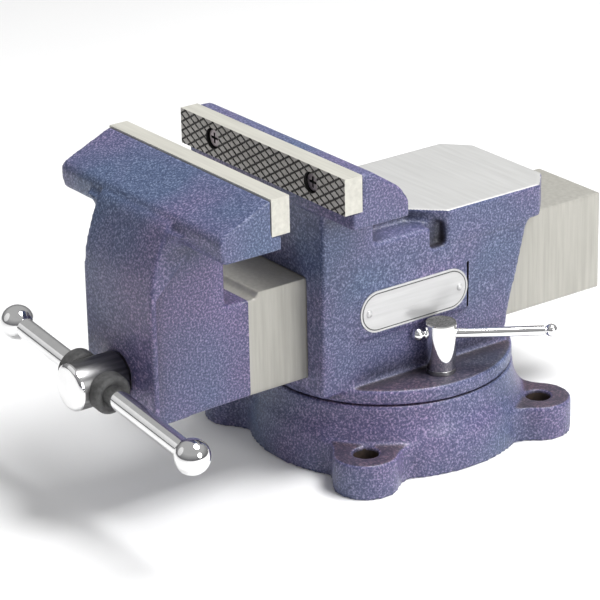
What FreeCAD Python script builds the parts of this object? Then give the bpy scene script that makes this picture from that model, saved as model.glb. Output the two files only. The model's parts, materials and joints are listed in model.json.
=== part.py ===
import FreeCAD, Part
import Sketcher
import math
import os
from FreeCAD import Placement, Rotation, Vector

# Bench vise on a swivel base.  Millimetres, +Z up, operator on the -Y side.
# The origin is the centre of the base's bottom face, on the swivel axis.

DOC = FreeCAD.newDocument("bench_vise")

DIMENSIONS = {
    # jaws and their plates
    "jaw_width": 150.0,
    "jaw_top": 186.0,
    "plate_height": 20.3,
    "plate_thick": 11.3,
    "plate_proud": 5.3,
    "rear_plate_face": -83.0,
    "jaw_opening": 35.3,
    "plate_screw_x": 45.0,
    "plate_screw_drop": 10.0,
    # front jaw casting
    "head_bottom": 157.0,
    "nose_y": -162.5,
    "apron_face": -176.7,
    "apron_half_width": 32.5,
    "apron_bottom": 53.0,
    "armpit_radius": 12.0,
    "armpit_top": 163.0,
    "block_half_width": 26.2,
    "pillar_rear": -126.0,
    "block_rear": -112.0,
    "ledge_top": 110.7,
    # slide and the tunnel that carries it
    "slide_half_width": 26.7,
    "slide_bottom": 55.9,
    "slide_top": 114.1,
    "slide_rear": 135.4,
    "slide_top_front": -105.0,
    "channel_half_width": 17.0,
    "channel_top": 98.0,
    "channel_front": -140.0,
    "slide_gap": 0.3,
    # rear body casting
    "body_front": -74.5,
    "body_low_half_width": 41.2,
    "body_top_half_width": 44.5,
    "flange_radius": 71.0,
    "flange_bottom": 40.6,
    "flange_top": 49.4,
    "wing_bottom": 156.0,
    "wing_rear": -41.0,
    "anvil_top": 138.3,
    "anvil_bottom": 119.0,
    "anvil_ledge": 131.0,
    "anvil_rear": 88.0,
    "anvil_side_rear": 75.0,
    "anvil_side_front": 10.0,
    "anvil_neck_half_width": 27.0,
    "anvil_neck_y": -7.0,
    "pad_face": 43.9,
    "name_y": -13.8,
    "name_z": 91.4,
    "name_length": 74.0,
    "name_height": 23.8,
    "rivet_spacing": 62.5,
    # swivel base
    "base_top": 40.5,
    "base_top_radius": 71.5,
    "base_foot_radius": 78.5,
    "lug_offset": 61.0,
    "lug_radius": 18.5,
    "lug_top": 20.0,
    "bench_bolt_radius": 7.0,
    "spigot_radius": 16.0,
    "running_gap": 0.08,
    # spindle and handle
    "spindle_z": 78.0,
    "spindle_radius": 11.0,
    "spindle_end": 118.0,
    "head_radius": 13.0,
    "head_front": -209.5,
    "head_rear": -178.6,
    "handle_y": -193.5,
    "handle_tilt": 6.6,
    "handle_radius": 5.6,
    "handle_ball_radius": 9.7,
    "handle_ball_spacing": 167.3,
    "handle_shift": 7.3,
    "ring_radius": 11.0,
    "ring_width": 8.0,
    # swivel locks
    "lock_x": 53.2,
    "lock_y": -2.5,
    "barrel_radius": 8.8,
    "barrel_top": 79.2,
    "lever_z": 71.6,
    "lever_radius": 2.8,
    "lever_knob_radius": 3.6,
    "lever_knob_spacing": 73.0,
    "lever_angle": 56.0,
    "stud_radius": 6.0,
}


class Size:
    """A number and the spreadsheet formula that gives it."""

    def __init__(self, value, formula):
        self.value = value
        self.formula = formula

    def combine(self, other, sign, value):
        text = other.formula if isinstance(other, Size) else repr(float(other))
        return Size(value, "(%s %s %s)" % (self.formula, sign, text))

    def __add__(self, other):
        return self.combine(other, "+", self.value + number(other))

    def __sub__(self, other):
        return self.combine(other, "-", self.value - number(other))

    def __mul__(self, other):
        return self.combine(other, "*", self.value * number(other))

    def __truediv__(self, other):
        return self.combine(other, "/", self.value / number(other))

    def __neg__(self):
        return self * -1.0


def number(size):
    """Plain number of a Size, or the number itself."""
    return size.value if isinstance(size, Size) else float(size)


def make_sheet():
    """Spreadsheet of driving dimensions, and the same sizes for this script."""
    sheet = DOC.addObject("Spreadsheet::Sheet", "dims")
    sizes = {}
    for row, (alias, value) in enumerate(DIMENSIONS.items(), start=1):
        sheet.set("A%d" % row, alias)
        sheet.set("B%d" % row, str(value))
        sheet.setAlias("B%d" % row, alias)
        sizes[alias] = Size(value, "dims." + alias)
    DOC.recompute()
    return sizes


S = make_sheet()
PLATE_BOTTOM = S["jaw_top"] - S["plate_height"]
PLATE_SCREW_Z = S["jaw_top"] - S["plate_screw_drop"]
REAR_SEAT = S["rear_plate_face"] + S["plate_thick"]
FRONT_PLATE_FACE = S["rear_plate_face"] - S["jaw_opening"]
FRONT_SEAT = FRONT_PLATE_FACE - S["plate_thick"]
TUNNEL_BOTTOM = S["slide_bottom"] - S["slide_gap"]
PLATE_SCREW_HOLE = 12.0
NODES = []


# ---------------------------------------------------------------- modelling helpers

def bind(obj, prop, size):
    """Set a property from a Size, driven by the sheet, or from a plain number."""
    setattr(obj, prop, number(size))
    if isinstance(size, Size):
        obj.setExpression(prop, size.formula)


def new_body(label):
    """PartDesign body whose label names its node."""
    body = DOC.addObject("PartDesign::Body", label)
    body.Label = label
    NODES.append(body)
    return body


def new_sketch(body, name, plane, offset=None):
    """Sketch on one of the body's own origin planes, moved along its normal."""
    sketch = body.newObject("Sketcher::SketchObject", body.Name + "_" + name)
    support = [f for f in body.Origin.OriginFeatures if f.Role == plane][0]
    sketch.AttachmentSupport = [(support, "")]
    sketch.MapMode = "FlatFace"
    if offset is not None:
        sketch.AttachmentOffset = Placement(Vector(0, 0, number(offset)), Rotation())
        if isinstance(offset, Size):
            sketch.setExpression("AttachmentOffset.Base.z", offset.formula)
    return sketch


def tie(sketch, kind, geometry, point, size):
    """Fix one coordinate of a sketch point, or a radius, to a size."""
    if point is None:
        index = sketch.addConstraint(Sketcher.Constraint(kind, geometry, number(size)))
    else:
        index = sketch.addConstraint(Sketcher.Constraint(kind, geometry, point, number(size)))
    if isinstance(size, Size):
        sketch.setExpression("Constraints[%d]" % index, size.formula)


def polygon(sketch, corners):
    """Closed outline of straight lines with every corner tied."""
    points = [Vector(number(u), number(v), 0) for u, v in corners]
    count = len(points)
    lines = [
        sketch.addGeometry(Part.LineSegment(points[i], points[(i + 1) % count]), False)
        for i in range(count)
    ]
    for i, line in enumerate(lines):
        following = lines[(i + 1) % count]
        sketch.addConstraint(Sketcher.Constraint("Coincident", line, 2, following, 1))
    for line, (u, v) in zip(lines, corners):
        tie(sketch, "DistanceX", line, 1, u)
        tie(sketch, "DistanceY", line, 1, v)


def rectangle(sketch, low_u, low_v, high_u, high_v):
    """Upright rectangle between two corners."""
    polygon(sketch, [(low_u, low_v), (high_u, low_v), (high_u, high_v), (low_u, high_v)])


def circle(sketch, centre_u, centre_v, radius):
    """Circle with centre and radius tied."""
    centre = Vector(number(centre_u), number(centre_v), 0)
    ring = sketch.addGeometry(Part.Circle(centre, Vector(0, 0, 1), number(radius)), False)
    tie(sketch, "DistanceX", ring, 3, centre_u)
    tie(sketch, "DistanceY", ring, 3, centre_v)
    tie(sketch, "Radius", ring, None, radius)


def quarter_outline(sketch, centre, radius, route):
    """Outline of straight lines, closed by the quarter circle from top to left of centre."""
    middle_u = number(centre[0]) - number(radius) * math.sqrt(0.5)
    middle_v = number(centre[1]) + number(radius) * math.sqrt(0.5)
    points = [Vector(number(u), number(v), 0) for u, v in route]
    arc = Part.Arc(points[0], Vector(middle_u, middle_v, 0), points[-1])
    arc_id = sketch.addGeometry(arc, False)
    lines = [sketch.addGeometry(Part.LineSegment(a, b), False) for a, b in zip(points, points[1:])]
    for first, second in zip(lines, lines[1:]):
        sketch.addConstraint(Sketcher.Constraint("Coincident", first, 2, second, 1))
    sketch.addConstraint(Sketcher.Constraint("Coincident", arc_id, 1, lines[0], 1))
    sketch.addConstraint(Sketcher.Constraint("Coincident", arc_id, 2, lines[-1], 2))
    for line, (u, v) in zip(lines, route):
        tie(sketch, "DistanceX", line, 1, u)
        tie(sketch, "DistanceY", line, 1, v)
    tie(sketch, "DistanceX", lines[-1], 2, route[-1][0])
    tie(sketch, "DistanceY", lines[-1], 2, route[-1][1])
    tie(sketch, "Radius", arc_id, None, radius)


def volume(body):
    """Volume of the body as it stands, 0 when it has no feature yet."""
    DOC.recompute()
    return 0.0 if body.Shape.isNull() else body.Shape.Volume


def pad(body, sketch, length, reverse=False, both_sides=False):
    """Pad a sketch; both_sides spreads the length evenly."""
    feature = body.newObject("PartDesign::Pad", sketch.Name + "_pad")
    feature.Profile = sketch
    bind(feature, "Length", length)
    feature.Reversed = reverse
    feature.Midplane = both_sides
    DOC.recompute()
    return feature


def pocket(body, sketch, length=None, reverse=False, both_sides=False):
    """Pocket a sketch, through everything when no length is given; it has to cut."""
    before = volume(body)
    feature = body.newObject("PartDesign::Pocket", sketch.Name + "_pocket")
    feature.Profile = sketch
    if length is None:
        feature.Type = "ThroughAll"
    else:
        bind(feature, "Length", length)
    feature.Reversed = reverse
    feature.Midplane = both_sides
    if volume(body) >= before - 0.01:
        raise RuntimeError(feature.Name + " cuts nothing")
    return feature


def revolve(body, sketch, reference):
    """Full turn of a sketch about one of the body's or sketch's axes."""
    feature = body.newObject("PartDesign::Revolution", sketch.Name + "_turned")
    feature.Profile = sketch
    feature.ReferenceAxis = reference
    feature.Angle = 360.0
    DOC.recompute()
    return feature


def groove(body, sketch, reference):
    """Full turn of a sketch about an axis, cut out of the body."""
    feature = body.newObject("PartDesign::Groove", sketch.Name + "_cut")
    feature.Profile = sketch
    feature.ReferenceAxis = reference
    feature.Angle = 360.0
    DOC.recompute()
    return feature


def origin_axis(body, role):
    """One of the body's own origin axes, as a reference."""
    return ([f for f in body.Origin.OriginFeatures if f.Role == role][0], [""])


def mirror(body, features, plane):
    """Mirrored copy of features about an origin plane."""
    feature = body.newObject("PartDesign::Mirrored", features[0].Name + "_mirror")
    feature.Originals = features
    support = [f for f in body.Origin.OriginFeatures if f.Role == plane][0]
    feature.MirrorPlane = (support, [""])
    body.Tip = feature
    DOC.recompute()
    return feature


def quarter_pattern(body, features):
    """Four copies of features about the vertical axis."""
    feature = body.newObject("PartDesign::PolarPattern", features[0].Name + "_ring")
    feature.Originals = features
    feature.Axis = origin_axis(body, "Z_Axis")
    feature.Angle = 360.0
    feature.Occurrences = 4
    body.Tip = feature
    DOC.recompute()
    return feature


def edges_where(shape, test):
    """Names of the edges whose bounding box passes a test."""
    names = []
    for index, edge in enumerate(shape.Edges, start=1):
        if test(edge.BoundBox):
            names.append("Edge%d" % index)
    return names


def along(axis, tolerance=0.3, **where):
    """Test for straight edges along one axis at given other coordinates."""
    def test(box):
        spans = {"x": box.XLength, "y": box.YLength, "z": box.ZLength}
        middles = {
            "x": (box.XMin + box.XMax) / 2,
            "y": (box.YMin + box.YMax) / 2,
            "z": (box.ZMin + box.ZMax) / 2,
        }
        thin = all(spans[a] < 0.01 for a in "xyz" if a != axis)
        near = all(abs(middles[a] - number(v)) < tolerance for a, v in where.items())
        return thin and near and spans[axis] > 1.0
    return test


def round_edges(body, tests, radius, strict=True):
    """Fillet every edge that passes one of the tests."""
    shape = body.Shape
    names = edges_where(shape, lambda box: any(test(box) for test in tests))
    if not names:
        if strict:
            raise RuntimeError("no edge to round on " + body.Label)
        return None
    base = body.Tip
    feature = body.newObject("PartDesign::Fillet", body.Name + "_round_%s" % names[0])
    feature.Base = (base, names)
    bind(feature, "Radius", radius)
    body.Tip = feature
    DOC.recompute()
    if "Invalid" in feature.State or feature.Shape.isNull():
        raise RuntimeError("fillet failed on %s: %s" % (body.Label, names))
    return feature


def cylinder(name, radius, length, base, axis):
    """Part cylinder from base along axis."""
    solid = DOC.addObject("Part::Cylinder", name)
    bind(solid, "Radius", radius)
    bind(solid, "Height", length)
    turn = Rotation(Vector(0, 0, 1), Vector(*axis))
    solid.Placement = Placement(Vector(*[number(c) for c in base]), turn)
    return solid


def combine(kind, name, pieces):
    """Part boolean of several objects: Fuse, Cut, or a compound of loose solids."""
    if kind == "Cut":
        result = DOC.addObject("Part::Cut", name)
        result.Base, result.Tool = pieces
    elif kind == "Fuse":
        result = DOC.addObject("Part::MultiFuse", name)
        result.Shapes = pieces
    else:
        result = DOC.addObject("Part::Compound", name)
        result.Links = pieces
    return result


def as_node(obj, label):
    """Name a finished object as one of the model's nodes."""
    obj.Label = label
    NODES.append(obj)
    return obj


# ---------------------------------------------------------------- swivel base

SLOT_RADIUS = S["lock_x"]
SLOT_NECK_HALF = 6.8
SLOT_HEAD_HALF = 11.5
SLOT_NECK_BOTTOM = 31.0
SLOT_FLOOR = 17.0
UNDERSIDE_RADIUS = 62.0
UNDERSIDE_DEPTH = 9.0
LUG_BLEND = 13.0


def lug_neck(sketch):
    """Neck between a lug and the round foot, with concave sides."""
    foot = number(S["base_foot_radius"]) - 0.6
    across = number(S["lug_radius"]) + LUG_BLEND
    away = math.sqrt((foot + LUG_BLEND) ** 2 - across ** 2)
    first, last = 1.5 * math.pi, math.pi + math.atan2(across, away)
    side = []
    for step in range(9):
        angle = first + (last - first) * step / 8
        side.append((away + LUG_BLEND * math.cos(angle), across + LUG_BLEND * math.sin(angle)))
    side.append((side[-1][0] - 14.0, side[-1][1] - 4.0))
    outline = side + [(u, -v) for u, v in reversed(side)]
    turn = math.sqrt(0.5)
    polygon(sketch, [((u - v) * turn, (u + v) * turn) for u, v in outline])


def swivel_base():
    """Round base turned with an annular T-slot, with four bolt lugs."""
    body = new_body("swivel_base")
    bore = S["spigot_radius"] + S["running_gap"]
    section = new_sketch(body, "section", "XZ_Plane")
    polygon(section, [
        (S["base_foot_radius"], 0.0), (S["base_foot_radius"], 11.0), (76.5, 21.0),
        (S["base_top_radius"] + 1.5, 29.0), (S["base_top_radius"], 36.0),
        (S["base_top_radius"], S["base_top"]), (bore, S["base_top"]), (bore, 0.0),
    ])
    revolve(body, section, origin_axis(body, "Z_Axis"))

    lug = new_sketch(body, "lug", "XY_Plane")
    circle(lug, S["lug_offset"], S["lug_offset"], S["lug_radius"])
    lug_pad = pad(body, lug, S["lug_top"])
    web = new_sketch(body, "lug_web", "XY_Plane")
    lug_neck(web)
    web_pad = pad(body, web, S["lug_top"])
    quarter_pattern(body, [lug_pad, web_pad])

    slot = new_sketch(body, "t_slot", "XZ_Plane")
    polygon(slot, [
        (SLOT_RADIUS + SLOT_NECK_HALF, S["base_top"] + 1.0),
        (SLOT_RADIUS + SLOT_NECK_HALF, SLOT_NECK_BOTTOM),
        (SLOT_RADIUS + SLOT_HEAD_HALF, SLOT_NECK_BOTTOM),
        (SLOT_RADIUS + SLOT_HEAD_HALF, SLOT_FLOOR),
        (SLOT_RADIUS - SLOT_HEAD_HALF, SLOT_FLOOR),
        (SLOT_RADIUS - SLOT_HEAD_HALF, SLOT_NECK_BOTTOM),
        (SLOT_RADIUS - SLOT_NECK_HALF, SLOT_NECK_BOTTOM),
        (SLOT_RADIUS - SLOT_NECK_HALF, S["base_top"] + 1.0),
    ])
    groove(body, slot, origin_axis(body, "Z_Axis"))

    relief = new_sketch(body, "underside_relief", "XY_Plane")
    circle(relief, 0.0, 0.0, UNDERSIDE_RADIUS)
    pocket(body, relief, UNDERSIDE_DEPTH, reverse=True)

    hole = new_sketch(body, "bolt_hole", "XY_Plane")
    circle(hole, S["lug_offset"], S["lug_offset"], S["bench_bolt_radius"])
    quarter_pattern(body, [pocket(body, hole, S["lug_top"] + 2.0, reverse=True)])

    window = new_sketch(body, "nut_window", "XY_Plane")
    rectangle(window, -17.0, SLOT_RADIUS - SLOT_HEAD_HALF + 2.5, 17.0, UNDERSIDE_RADIUS - 3.5)
    pocket(body, window, SLOT_FLOOR + 1.0, reverse=True)
    return body


# ---------------------------------------------------------------- rear body

def rear_body():
    """Fixed jaw, slide tunnel, anvil and swivel flange in one casting."""
    body = new_body("rear_body")
    low, top = S["body_low_half_width"], S["body_top_half_width"]
    ledge_half = top - 0.2
    trunk = new_sketch(body, "trunk", "XZ_Plane", -S["body_front"])
    polygon(trunk, [
        (-low, S["flange_top"] - 2.0), (low, S["flange_top"] - 2.0),
        (ledge_half, S["anvil_ledge"]), (-ledge_half, S["anvil_ledge"]),
    ])
    pad(body, trunk, S["anvil_rear"] - S["body_front"], reverse=True)

    back = new_sketch(body, "back_slope", "YZ_Plane")
    polygon(back, [
        (95.0, S["anvil_bottom"]), (67.5, S["anvil_bottom"]), (54.5, 65.0),
        (52.5, S["flange_top"] - 3.0), (95.0, S["flange_top"] - 3.0),
    ])
    pocket(body, back, both_sides=True)

    anvil = new_sketch(body, "anvil", "XY_Plane", S["anvil_bottom"])
    side_rear, rear = S["anvil_side_rear"], S["anvil_rear"]
    corner = top - 14.0
    neck, neck_y = S["anvil_neck_half_width"], S["anvil_neck_y"]
    polygon(anvil, [
        (neck, S["wing_rear"] - 10.0), (neck, neck_y), (top, S["anvil_side_front"]),
        (top, side_rear), (corner, rear), (-corner, rear), (-top, side_rear),
        (-top, S["anvil_side_front"]), (-neck, neck_y), (-neck, S["wing_rear"] - 10.0),
    ])
    pad(body, anvil, S["anvil_top"] - S["anvil_bottom"])
    corners = new_sketch(body, "anvil_corner", "XY_Plane", S["anvil_bottom"] - 1.0)
    polygon(corners, [(top + 3.0, side_rear - 1.0), (top, side_rear), (corner, rear),
                      (corner, rear + 5.0), (top + 3.0, rear + 5.0)])
    corner_cut = pocket(body, corners, 25.0, reverse=True)
    mirror(body, [corner_cut], "YZ_Plane")

    wings = new_sketch(body, "wings", "YZ_Plane")
    face = S["rear_plate_face"] + S["plate_proud"]
    polygon(wings, [
        (face, S["wing_bottom"]), (face, PLATE_BOTTOM), (REAR_SEAT, PLATE_BOTTOM),
        (REAR_SEAT, S["jaw_top"] - 0.3), (REAR_SEAT + 8.0, S["jaw_top"] - 0.8),
        (S["wing_rear"] - 6.0, 174.0), (S["wing_rear"], 166.0), (S["wing_rear"], S["wing_bottom"]),
    ])
    pad(body, wings, S["jaw_width"], both_sides=True)
    round_edges(body, [along("x", z=174.0, y=S["wing_rear"] - 6.0),
                       along("x", z=166.0, y=S["wing_rear"])], 5.0)

    neck_sketch = new_sketch(body, "jaw_neck", "YZ_Plane")
    rectangle(neck_sketch, S["body_front"], S["anvil_ledge"] - 2.0, S["wing_rear"], S["wing_bottom"] + 2.0)
    pad(body, neck_sketch, top * 2.0 - 0.4, both_sides=True)

    tunnel = new_sketch(body, "tunnel", "XZ_Plane")
    half = S["slide_half_width"] + S["slide_gap"]
    rectangle(tunnel, -half, TUNNEL_BOTTOM, half, S["slide_top"] + S["slide_gap"])
    pocket(body, tunnel, both_sides=True)

    flange = new_sketch(body, "flange", "XY_Plane", S["flange_bottom"])
    circle(flange, 0.0, 0.0, S["flange_radius"])
    pad(body, flange, S["flange_top"] - S["flange_bottom"])
    floor = new_sketch(body, "tunnel_floor", "XY_Plane", S["flange_top"] - 1.0)
    rectangle(floor, -half - 1.0, S["body_front"], half + 1.0, 52.0)
    pad(body, floor, TUNNEL_BOTTOM - S["flange_top"] + 1.0)
    spigot = new_sketch(body, "spigot", "XY_Plane", S["flange_bottom"])
    circle(spigot, 0.0, 0.0, S["spigot_radius"])
    pad(body, spigot, 12.0, reverse=True)

    plate_pad = new_sketch(body, "name_pad", "YZ_Plane", S["body_low_half_width"] - 1.0)
    rectangle(plate_pad, S["name_y"] - 38.0, S["name_z"] - 14.0, S["name_y"] + 38.0, S["name_z"] + 13.5)
    pad(body, plate_pad, S["pad_face"] - S["body_low_half_width"] + 1.0)

    notch = new_sketch(body, "side_notch", "YZ_Plane", 37.0)
    rectangle(notch, -2.0, 118.0, 9.0, S["anvil_ledge"] + 0.5)
    mirror(body, [pocket(body, notch, 9.0, reverse=True)], "YZ_Plane")

    stud = new_sketch(body, "stud_hole", "XY_Plane", S["flange_bottom"])
    circle(stud, S["lock_x"], S["lock_y"], S["stud_radius"] + 0.3)
    circle(stud, -S["lock_x"], -S["lock_y"], S["stud_radius"] + 0.3)
    pocket(body, stud, 10.0, reverse=True)

    bolt = new_sketch(body, "nut_bolt_hole", "XY_Plane", S["flange_bottom"])
    circle(bolt, 0.0, -44.0, 4.1)
    pocket(body, bolt, 20.0, reverse=True)
    seat = new_sketch(body, "nut_bolt_seat", "XY_Plane", S["flange_bottom"])
    circle(seat, 0.0, -44.0, 7.2)
    pocket(body, seat, 8.6, reverse=True)

    screws = new_sketch(body, "plate_screw_hole", "XZ_Plane", -REAR_SEAT)
    circle(screws, S["plate_screw_x"], PLATE_SCREW_Z, 3.3)
    circle(screws, -S["plate_screw_x"], PLATE_SCREW_Z, 3.3)
    pocket(body, screws, PLATE_SCREW_HOLE)

    rivets = new_sketch(body, "rivet_hole", "YZ_Plane", S["pad_face"])
    circle(rivets, S["name_y"] - S["rivet_spacing"] / 2.0, S["name_z"], 1.3)
    circle(rivets, S["name_y"] + S["rivet_spacing"] / 2.0, S["name_z"], 1.3)
    pocket(body, rivets, 6.0)

    return body


# ---------------------------------------------------------------- front jaw

APRON_RISE = (
    (0.0, 126.0), (0.3, 131.0), (1.0, 137.6), (2.2, 143.0), (3.8, 148.2), (6.1, 155.0),
    (8.2, 160.0), (10.2, 164.8), (13.0, 168.5),
)


def armpits(body):
    """Round inside corners between the apron's sides and the head."""
    side, radius, top = S["apron_half_width"], S["armpit_radius"], S["armpit_top"]
    sketch = new_sketch(body, "armpit", "XZ_Plane", 166.0)
    quarter_outline(sketch, (side + radius, top - radius), radius, [
        (side + radius, top), (side + radius, top + 2.0), (side - 2.0, top + 2.0),
        (side - 2.0, top - radius), (side, top - radius),
    ])
    mirror(body, [pad(body, sketch, 14.0, reverse=True)], "YZ_Plane")


def front_jaw():
    """Moving jaw: apron, head, pillar and hollow slide in one casting."""
    body = new_body("front_jaw")
    face = S["apron_face"]
    nose = (S["nose_y"], 171.5)
    head = new_sketch(body, "head", "YZ_Plane")
    rear = FRONT_SEAT + S["plate_thick"] - S["plate_proud"]
    polygon(head, [
        (FRONT_SEAT, S["jaw_top"] - 0.3), (FRONT_SEAT, PLATE_BOTTOM), (rear, PLATE_BOTTOM),
        (rear, S["head_bottom"]), (S["nose_y"] + 2.0, S["head_bottom"]), nose,
    ])
    pad(body, head, S["jaw_width"], both_sides=True)
    round_edges(body, [along("x", y=nose[0], z=nose[1])], 6.0)
    round_edges(body, [along("x", y=S["nose_y"] + 2.0, z=S["head_bottom"])], 4.0)

    shield = new_sketch(body, "shield", "YZ_Plane")
    rise = [(face + back, z) for back, z in APRON_RISE]
    polygon(shield, [(face, S["apron_bottom"])] + rise + [
        (-150.0, rise[-1][1]), (-150.0, 150.0), (face + 4.0, 128.0),
        (face + 4.0, S["apron_bottom"]),
    ])
    pad(body, shield, S["apron_half_width"] * 2.0, both_sides=True)
    armpits(body)

    block = new_sketch(body, "block", "YZ_Plane")
    polygon(block, [
        (face + 3.0, S["apron_bottom"]), (S["block_rear"], S["apron_bottom"] + 2.0),
        (S["block_rear"], S["ledge_top"]), (S["pillar_rear"], S["ledge_top"]),
        (S["pillar_rear"], S["head_bottom"] + 2.0), (-152.0, S["head_bottom"] + 2.0),
        (face + 3.0, 130.0),
    ])
    pad(body, block, S["block_half_width"] * 2.0, both_sides=True)
    slide = new_sketch(body, "slide", "YZ_Plane")
    polygon(slide, [
        (S["block_rear"], S["slide_bottom"]), (S["slide_rear"], S["slide_bottom"]),
        (S["slide_rear"], S["slide_top"]), (S["slide_top_front"], S["slide_top"]),
        (S["slide_top_front"] - 2.5, S["ledge_top"]), (S["block_rear"], S["ledge_top"]),
    ])
    pad(body, slide, S["slide_half_width"] * 2.0, both_sides=True)

    channel = new_sketch(body, "channel", "XZ_Plane", -S["channel_front"])
    rectangle(channel, -S["channel_half_width"], S["apron_bottom"] - 5.0,
              S["channel_half_width"], S["channel_top"])
    pocket(body, channel, S["slide_rear"] - S["channel_front"] + 5.0)

    boss = new_sketch(body, "boss", "XZ_Plane", -face)
    circle(boss, 0.0, S["spindle_z"], 17.0)
    pad(body, boss, 1.5)
    bore = new_sketch(body, "bore", "XZ_Plane", -face)
    circle(bore, 0.0, S["spindle_z"], S["spindle_radius"] + S["running_gap"])
    pocket(body, bore, both_sides=True, length=80.0)

    screws = new_sketch(body, "plate_screw_hole", "XZ_Plane", -FRONT_SEAT)
    circle(screws, S["plate_screw_x"], PLATE_SCREW_Z, 3.3)
    circle(screws, -S["plate_screw_x"], PLATE_SCREW_Z, 3.3)
    pocket(body, screws, PLATE_SCREW_HOLE, reverse=True)
    return body


# ---------------------------------------------------------------- jaw plates and screws

def jaw_plate(label, face, seat):
    """Steel jaw plate between its gripping face and its seat, with two screw holes."""
    body = new_body(label)
    facing_rear = number(seat) < number(face)
    back = seat if facing_rear else face
    outline = new_sketch(body, "outline", "XZ_Plane", -back)
    rectangle(outline, -S["jaw_width"] / 2.0, PLATE_BOTTOM, S["jaw_width"] / 2.0, S["jaw_top"])
    pad(body, outline, S["plate_thick"], reverse=True)
    for name, radius, depth in (("hole", 3.3, None), ("head_hole", 5.9, 5.0)):
        sketch = new_sketch(body, name, "XZ_Plane", -face)
        circle(sketch, S["plate_screw_x"], PLATE_SCREW_Z, radius)
        circle(sketch, -S["plate_screw_x"], PLATE_SCREW_Z, radius)
        pocket(body, sketch, S["plate_thick"] + 1.0 if depth is None else depth,
               reverse=facing_rear)
    return body


def plate_screws(label, face, direction):
    """Two screws: sunk round heads and shanks that reach into the casting."""
    recess = 1.6
    head_depth = 3.4
    pieces = []
    for side in (-1, 1):
        x = side * number(S["plate_screw_x"])
        start = number(face) + direction * recess
        head = cylinder("%s_head_%d" % (label, side > 0), 5.6, head_depth,
                        (x, start, PLATE_SCREW_Z), (0, direction, 0))
        shank = cylinder("%s_shank_%d" % (label, side > 0), 3.2, 20.5,
                         (x, start, PLATE_SCREW_Z), (0, direction, 0))
        pieces.append(combine("Fuse", "%s_screw_%d" % (label, side > 0), [head, shank]))
    return as_node(combine("Compound", label, pieces), label)


# ---------------------------------------------------------------- nameplate

NAMEPLATE_THICK = 0.8


def nameplate():
    """Stadium-shaped blank plate on the pad, with two rivet holes."""
    body = new_body("nameplate")
    sketch = new_sketch(body, "outline", "YZ_Plane", S["pad_face"])
    half = (S["name_length"] - S["name_height"]) / 2.0
    rectangle(sketch, S["name_y"] - half, S["name_z"] - S["name_height"] / 2.0,
              S["name_y"] + half, S["name_z"] + S["name_height"] / 2.0)
    pad(body, sketch, NAMEPLATE_THICK)
    for name, shift in (("front_end", -half), ("rear_end", half)):
        end = new_sketch(body, name, "YZ_Plane", S["pad_face"])
        circle(end, S["name_y"] + shift, S["name_z"], S["name_height"] / 2.0)
        pad(body, end, NAMEPLATE_THICK)
    holes = new_sketch(body, "rivet_hole", "YZ_Plane", S["pad_face"])
    circle(holes, S["name_y"] - S["rivet_spacing"] / 2.0, S["name_z"], 1.3)
    circle(holes, S["name_y"] + S["rivet_spacing"] / 2.0, S["name_z"], 1.3)
    pocket(body, holes, NAMEPLATE_THICK + 1.0, reverse=True)
    return body


def nameplate_rivets():
    """Two drive rivets through the nameplate into the pad."""
    pieces = []
    face = number(S["pad_face"]) + NAMEPLATE_THICK
    for side in (-1, 1):
        y = number(S["name_y"]) + side * number(S["rivet_spacing"]) / 2
        shank = cylinder("rivet_shank_%d" % (side > 0), 1.2, 6.0, (face - 6.0, y, S["name_z"]), (1, 0, 0))
        dome = DOC.addObject("Part::Sphere", "rivet_dome_%d" % (side > 0))
        dome.Radius = 2.6
        dome.Placement = Placement(Vector(face - 1.6, y, number(S["name_z"])), Rotation())
        keep = DOC.addObject("Part::Box", "rivet_keep_%d" % (side > 0))
        keep.Length, keep.Width, keep.Height = 4.0, 8.0, 8.0
        keep.Placement = Placement(Vector(face, y - 4.0, number(S["name_z"]) - 4.0), Rotation())
        head = DOC.addObject("Part::Common", "rivet_head_%d" % (side > 0))
        head.Base, head.Tool = dome, keep
        pieces.append(combine("Fuse", "rivet_%d" % (side > 0), [head, shank]))
    return as_node(combine("Compound", "nameplate_rivets", pieces), "nameplate_rivets")


# ---------------------------------------------------------------- spindle and its nut

NUT_FRONT = -62.0
NUT_LENGTH = 36.0
NUT_TOP = 95.0


def spindle_nut():
    """Block on the tunnel floor inside the channel, bored for the screw."""
    body = new_body("spindle_nut")
    block = new_sketch(body, "block", "XZ_Plane", -NUT_FRONT)
    rectangle(block, -15.5, TUNNEL_BOTTOM, 15.5, NUT_TOP)
    pad(body, block, NUT_LENGTH, reverse=True)
    round_edges(body, [along("y", x=15.5, z=NUT_TOP), along("y", x=-15.5, z=NUT_TOP)], 9.0)
    bore = new_sketch(body, "bore", "XZ_Plane", -NUT_FRONT)
    circle(bore, 0.0, S["spindle_z"], S["spindle_radius"] + S["running_gap"])
    pocket(body, bore, NUT_LENGTH + 1.0)
    hole = new_sketch(body, "bolt_hole", "XY_Plane", TUNNEL_BOTTOM)
    circle(hole, 0.0, -44.0, 4.05)
    pocket(body, hole, 9.0, reverse=True)
    return body


def spindle_nut_bolt():
    """Cap screw from below that holds the nut to the body."""
    seat = number(S["flange_bottom"]) + 8.6
    head = cylinder("nut_bolt_head", 6.5, 8.0, (0, -44.0, seat - 8.0), (0, 0, 1))
    shank = cylinder("nut_bolt_shank", 4.0, 14.5, (0, -44.0, seat - 0.5), (0, 0, 1))
    return as_node(combine("Fuse", "spindle_nut_bolt", [head, shank]), "spindle_nut_bolt")


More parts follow.
